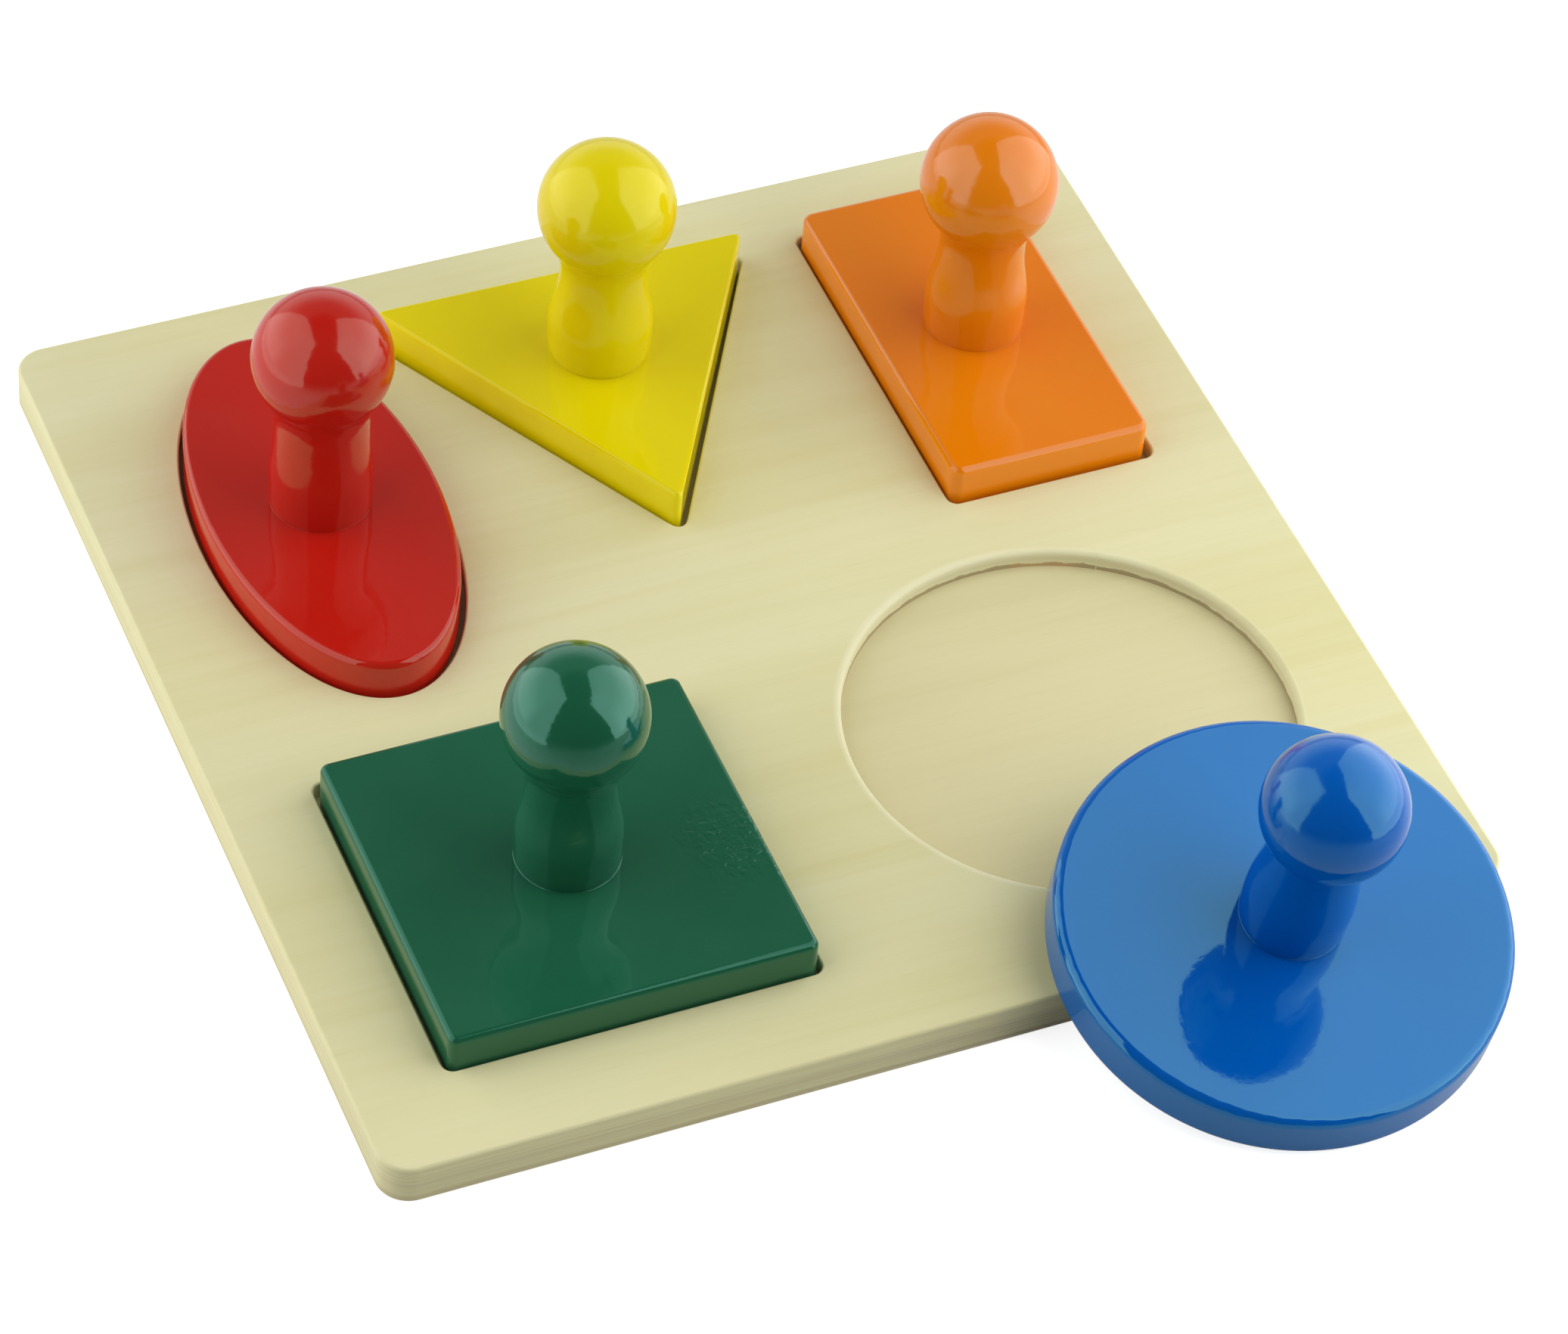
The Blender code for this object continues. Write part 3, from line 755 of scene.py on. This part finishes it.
def blank(shape):
    """The sawn plate before its edges are rounded, on z = 0 about its middle."""
    name = shape + "_plate_painted"
    size = size_of(shape + "_plate")
    if shape in corner_radii:
        corner = corner_radii[shape]
        return add_tile(name, size.x, size.y, 0, PLATE_THICKNESS, middle, corner, RECESS_SEGMENTS)
    if shape == "triangle":
        piece = add_triangle(name, TRIANGLE_SIDE, 0, PLATE_THICKNESS, middle, TRIANGLE_TURN)
        round_corners(piece, TRIANGLE_CORNER_RADIUS, RECESS_SEGMENTS, radians(60))
        return piece
    width = size.x + DISC_EXTRA if shape == "disc" else size.x
    length = width if shape == "disc" else size.y
    return add_oval(name, width, length, 0, PLATE_THICKNESS, middle)


for index, (shape, place) in enumerate(places.items()):
    plate = blank(shape)
    rounding = roundings.get(shape, PLATE_EDGE_ROUNDING)
    round_edges(plate, rim_at(PLATE_THICKNESS), rounding, PLATE_SEGMENTS)
    round_edges(plate, rim_at(0), rounding, PLATE_SEGMENTS)
    offset = knob_offsets.get(shape, middle)
    carve(plate, put(screw_hole(PLATE_THICKNESS), Matrix.Translation((*offset, 0))))
    shade(plate)
    put(plate, place)
    coat = COATS[shape]
    plate.data.materials.append(enamel(
        coat["colour"] + " plate enamel", coat, coat["side"], coat["plate"], PLATE_PEEL, PLATE_HAZE,
        (index * COAT_SHIFT, 0, 0), RIPPLE_MIDDLE
    ))
    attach(plate, shape + "_piece")
    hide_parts(shape + "_plate")


# Knobs
# A ball on a short barrelled stem, turned from one piece of beech, painted with its plate and screwed
# to it from beneath. The paint stands as a small bead in the joint at the foot.

BALL_HEIGHT = 0.0493
STEM_BULGE_HEIGHT = 0.0095
FOOT_RADIUS = 0.0134
FOOT_GAP = 0.00003
BORE_DEPTH = 0.016
STEM_SWEEP = 1.35
BALL_STEPS = 40
FILLET_STEPS = 8
STEM_STEPS = 20
FOOT_STEPS = 8
BEAD_STEPS = 5
KNOB_SPIN_STEPS = 96
KNOB_SHARP_ANGLE = 50
KNOB_PEEL = 2.2
KNOB_HAZE = 0.11
KNOB_COAT_SHIFT = 0.2

# No two knobs were turned alike: the radii of the neck, the stem, the fillet under the ball and the bead
TURNINGS = {
    "square": (0.0117, 0.0137, 0.0170, 0.00018), "oval": (0.0125, 0.0136, 0.0170, 0.00005),
    "triangle": (0.0116, 0.0141, 0.0175, 0.00005), "rectangle": (0.0116, 0.0138, 0.0160, 0.00005),
    "disc": (0.0122, 0.0139, 0.0045, 0.00014),
}


def knob_profile(neck, stem, fillet, bead):
    """From the ball's top down the outside to the foot. The fillet eases the ball into the neck."""
    meet = asin((neck + fillet) / (BALL_RADIUS + fillet))
    fillet_height = BALL_HEIGHT - (BALL_RADIUS + fillet) * cos(meet)
    points = []
    for step in range(BALL_STEPS + 1):
        angle = (pi - meet) * step / BALL_STEPS
        points.append((BALL_RADIUS * sin(angle), BALL_HEIGHT + BALL_RADIUS * cos(angle)))
    for step in range(1, FILLET_STEPS + 1):
        angle = meet + (pi / 2 - meet) * step / FILLET_STEPS
        radius = neck + fillet - fillet * sin(angle)
        points.append((radius, fillet_height + fillet * cos(angle)))
    for step in range(1, STEM_STEPS + 1):
        share = step / STEM_STEPS
        ease = (1 - cos(pi * share ** STEM_SWEEP)) / 2
        height = fillet_height + (STEM_BULGE_HEIGHT - fillet_height) * share
        points.append((neck + (stem - neck) * ease, height))
    edge_height = FOOT_GAP + bead
    for step in range(1, FOOT_STEPS + 1):
        angle = pi / 2 * step / FOOT_STEPS
        radius = FOOT_RADIUS + (stem - FOOT_RADIUS) * cos(angle)
        points.append((radius, STEM_BULGE_HEIGHT + (edge_height - STEM_BULGE_HEIGHT) * sin(angle)))
    for step in range(1, BEAD_STEPS + 1):
        angle = pi / 2 * step / BEAD_STEPS
        radius = FOOT_RADIUS + bead * (1 - cos(angle))
        points.append((radius, FOOT_GAP + bead * (1 - sin(angle))))
    bore = SCREW_RADIUS + SCREW_GAP
    return points + [(bore, FOOT_GAP), (bore, BORE_DEPTH), (0, BORE_DEPTH)]


for index, (shape, place) in enumerate(places.items()):
    knob = turned(shape + "_knob_painted", knob_profile(*TURNINGS[shape]), KNOB_SPIN_STEPS)
    shade(knob, KNOB_SHARP_ANGLE)
    offset = knob_offsets.get(shape, middle)
    put(knob, place @ Matrix.Translation((*offset, PLATE_THICKNESS)))
    coat = COATS[shape]
    knob.data.materials.append(enamel(
        coat["colour"] + " knob enamel", coat, coat["paint"], coat["knob"], KNOB_PEEL, KNOB_HAZE,
        (index * COAT_SHIFT, KNOB_COAT_SHIFT, 0)
    ))
    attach(knob, shape + "_piece")
    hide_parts(shape + "_knob")


# Screws
# Countersunk wood screws of zinc-plated steel, one for each knob, driven from beneath until the head
# lies just inside the plate. They are the CAD's own pieces with a plated finish.

ZINC = (0.55, 0.54, 0.50)
DULL_ZINC = (0.42, 0.43, 0.42)


def zinc_plate():
    """Zinc plate, a little clouded and scratched."""
    material = bpy.data.materials.new("zinc plated steel")
    material.use_nodes = True
    tree = material.node_tree
    skin = tree.nodes["Principled BSDF"]
    skin.inputs["Metallic"].default_value = 1.0
    place = node(tree, "TexCoord").outputs["Object"]
    cloud = noise(tree, place, 900.0, 3, 0.6)
    scratches = noise(tree, stretched(tree, place, (3000, 400, 400)), 1.0, 2, 0.6)
    tree.links.new(mixed(tree, cloud, ZINC, DULL_ZINC), skin.inputs["Base Color"])
    tree.links.new(spread(tree, cloud, 0.3, 0.7, 0.26, 0.42), skin.inputs["Roughness"])
    bump = node(tree, "Bump", strength=0.3, distance=0.00003, height=scratches)
    tree.links.new(bump.outputs["Normal"], skin.inputs["Normal"])
    return material


ZINC_PLATE = zinc_plate()
for shape in places:
    screw = frame["nodes"][shape + "_screw"]
    screw.data.materials.clear()
    screw.data.materials.append(ZINC_PLATE)


# Studio
# A white table in a light tent: two tall diffusers left and right of the tray, with a gap for the
# camera between them, and a dim grey room. The camera sees the table and the room as white.

TABLE_SIZE = 12
TABLE_GAP = 0.0002
TABLE_WHITE = (0.80, 0.80, 0.78)
TABLE_DIM = (0.54, 0.54, 0.52)
TABLE_GLOW = 0.80
TABLE_REFLECTED_GLOW = 0.15
# The table is painted darker towards the front as a painted shade: dim up to the first Y, and white from the
# second
TABLE_FADE = (-0.28, -0.05)
ROOM_DARK = (0.06, 0.06, 0.06)
ROOM_GREY = (0.30, 0.30, 0.30)
ROOM_PALE = (0.98, 0.98, 0.98)
SEEN_WHITE = (1.0, 1.0, 1.0)
# The room's walls away from the camera's side are pale low down and grey to above the panels
CAMERA_SIDE = (-0.44, -0.90, 0.0)
CAMERA_SIDE_FADE = (0.10, 0.45)
PALE_WALL_FADE = (0.20, 0.68)
GREY_WALL_FADE = (0.80, 0.97)

LEFT_PANEL = {
    "centre": (-0.418, 0.207, 0.615), "size": (1.02, 1.23), "heading": 81.8, "lean": 1.2,
    "glow": 1.42, "front": 1.20,
}
RIGHT_PANEL = {
    "centre": (0.270, -0.173, 0.432), "size": (0.83, 0.872), "heading": 80.5, "lean": 13.7,
    "glow": 1.75, "front": 1.28,
}

deselect_all()
bpy.ops.mesh.primitive_plane_add(size=TABLE_SIZE, location=(0, 0, -TABLE_GAP))
table = bpy.context.object
table.name = "table"
table_paper = bpy.data.materials.new("white table")
table_paper.use_nodes = True
tree = table_paper.node_tree
tree.nodes.clear()
depth = node(tree, "SeparateXYZ", vector=node(tree, "TexCoord").outputs["Object"]).outputs["Y"]
far = spread(tree, depth, *TABLE_FADE)
paper = node(tree, "BsdfDiffuse", color=mixed(tree, far, TABLE_DIM, TABLE_WHITE))
rays = node(tree, "LightPath").outputs
# A painted glow: away from the front, the table also glows a little in reflections
mirrored = maths(tree, "MULTIPLY", maths(tree, "MULTIPLY", rays["Is Glossy Ray"], far), TABLE_REFLECTED_GLOW)
strength = maths(tree, "MULTIPLY_ADD", rays["Is Camera Ray"], TABLE_GLOW, mirrored)
glow = node(tree, "Emission", color=(1, 1, 1, 1), strength=strength)
both = node(tree, "AddShader")
tree.links.new(paper.outputs[0], both.inputs[0])
tree.links.new(glow.outputs[0], both.inputs[1])
tree.links.new(both.outputs[0], node(tree, "OutputMaterial").inputs["Surface"])
table.data.materials.append(table_paper)

world = bpy.data.worlds.new("room")
bpy.context.scene.world = world
world.use_nodes = True
tree = world.node_tree
tree.nodes.clear()
heading = node(tree, "TexCoord").outputs["Generated"]
height = node(tree, "SeparateXYZ", vector=heading).outputs["Z"]
towards_front = node(tree, "VectorMath", {"operation": "DOT_PRODUCT"})
tree.links.new(heading, towards_front.inputs[0])
towards_front.inputs[1].default_value = CAMERA_SIDE
behind = spread(tree, towards_front.outputs["Value"], *CAMERA_SIDE_FADE, 1.0, 0.0)
grey_wall = maths(tree, "MULTIPLY", spread(tree, height, *GREY_WALL_FADE, 1.0, 0.0), behind)
pale_wall = maths(tree, "MULTIPLY", spread(tree, height, *PALE_WALL_FADE, 1.0, 0.0), behind)
grey = mixed(tree, grey_wall, ROOM_DARK, ROOM_GREY)
grey = mixed(tree, pale_wall, grey, ROOM_PALE)
seen = node(tree, "LightPath").outputs["Is Camera Ray"]
colour = mixed(tree, seen, grey, SEEN_WHITE)
background = node(tree, "Background", color=colour, strength=1.0)
tree.links.new(background.outputs[0], node(tree, "OutputWorld").inputs["Surface"])


def add_panel(name, centre, size, heading, lean, glow, front, faces_right):
    """A tall diffuser: a rectangular lamp of a mean radiance, brighter towards its front end."""
    along = Vector((cos(radians(heading)), sin(radians(heading)), 0))
    inward = Vector((-along.y, along.x, 0))
    up = cos(radians(lean)) * Vector((0, 0, 1)) + sin(radians(lean)) * inward
    if faces_right:
        along = -along
    lamp = bpy.data.lights.new(name, "AREA")
    lamp.shape = "RECTANGLE"
    lamp.size, lamp.size_y = size
    lamp.energy = glow * pi * size[0] * size[1]
    lamp.use_nodes = True
    tree = lamp.node_tree
    across = node(tree, "SeparateXYZ", vector=node(tree, "NewGeometry").outputs["Parametric"]).outputs["X"]
    share = across if faces_right else maths(tree, "SUBTRACT", 1.0, across)
    strength = maths(tree, "MULTIPLY_ADD", share, 2 * (front - 1), 2 - front)
    tree.links.new(strength, tree.nodes["Emission"].inputs["Strength"])
    holder = bpy.data.objects.new(name, lamp)
    bpy.context.scene.collection.objects.link(holder)
    turn = Matrix((along, up, along.cross(up))).transposed().to_4x4()
    holder.matrix_world = Matrix.Translation(centre) @ turn
    holder.visible_camera = False


add_panel("left diffuser", **LEFT_PANEL, faces_right=True)
add_panel("right diffuser", **RIGHT_PANEL, faces_right=False)


# Camera
# A long lens from the front left, looking down by 46 degrees and rolled a little.

FOCAL_LENGTH = 141.11
SENSOR_WIDTH = 36.0
AZIMUTH, ELEVATION, ROLL = radians(-26.121), radians(46.103), radians(5.374)
TARGET = Vector((0.008086, -0.013595, 0))
DISTANCE = 1.594043

back = Vector((sin(AZIMUTH) * cos(ELEVATION), -cos(AZIMUTH) * cos(ELEVATION), sin(ELEVATION)))
level = Vector((cos(AZIMUTH), sin(AZIMUTH), 0))
above = back.cross(level)
right = level * cos(ROLL) + above * sin(ROLL)
up = back.cross(right)
lens = bpy.data.cameras.new("camera")
lens.lens = FOCAL_LENGTH
lens.sensor_width = SENSOR_WIDTH
lens.sensor_fit = "HORIZONTAL"
lens.clip_start = 0.05
camera = bpy.data.objects.new("camera", lens)
bpy.context.scene.collection.objects.link(camera)
turn = Matrix((right, up, back)).transposed().to_4x4()
camera.matrix_world = Matrix.Translation(TARGET + DISTANCE * back) @ turn
bpy.context.scene.camera = camera
bpy.context.scene.view_settings.view_transform = "Standard"
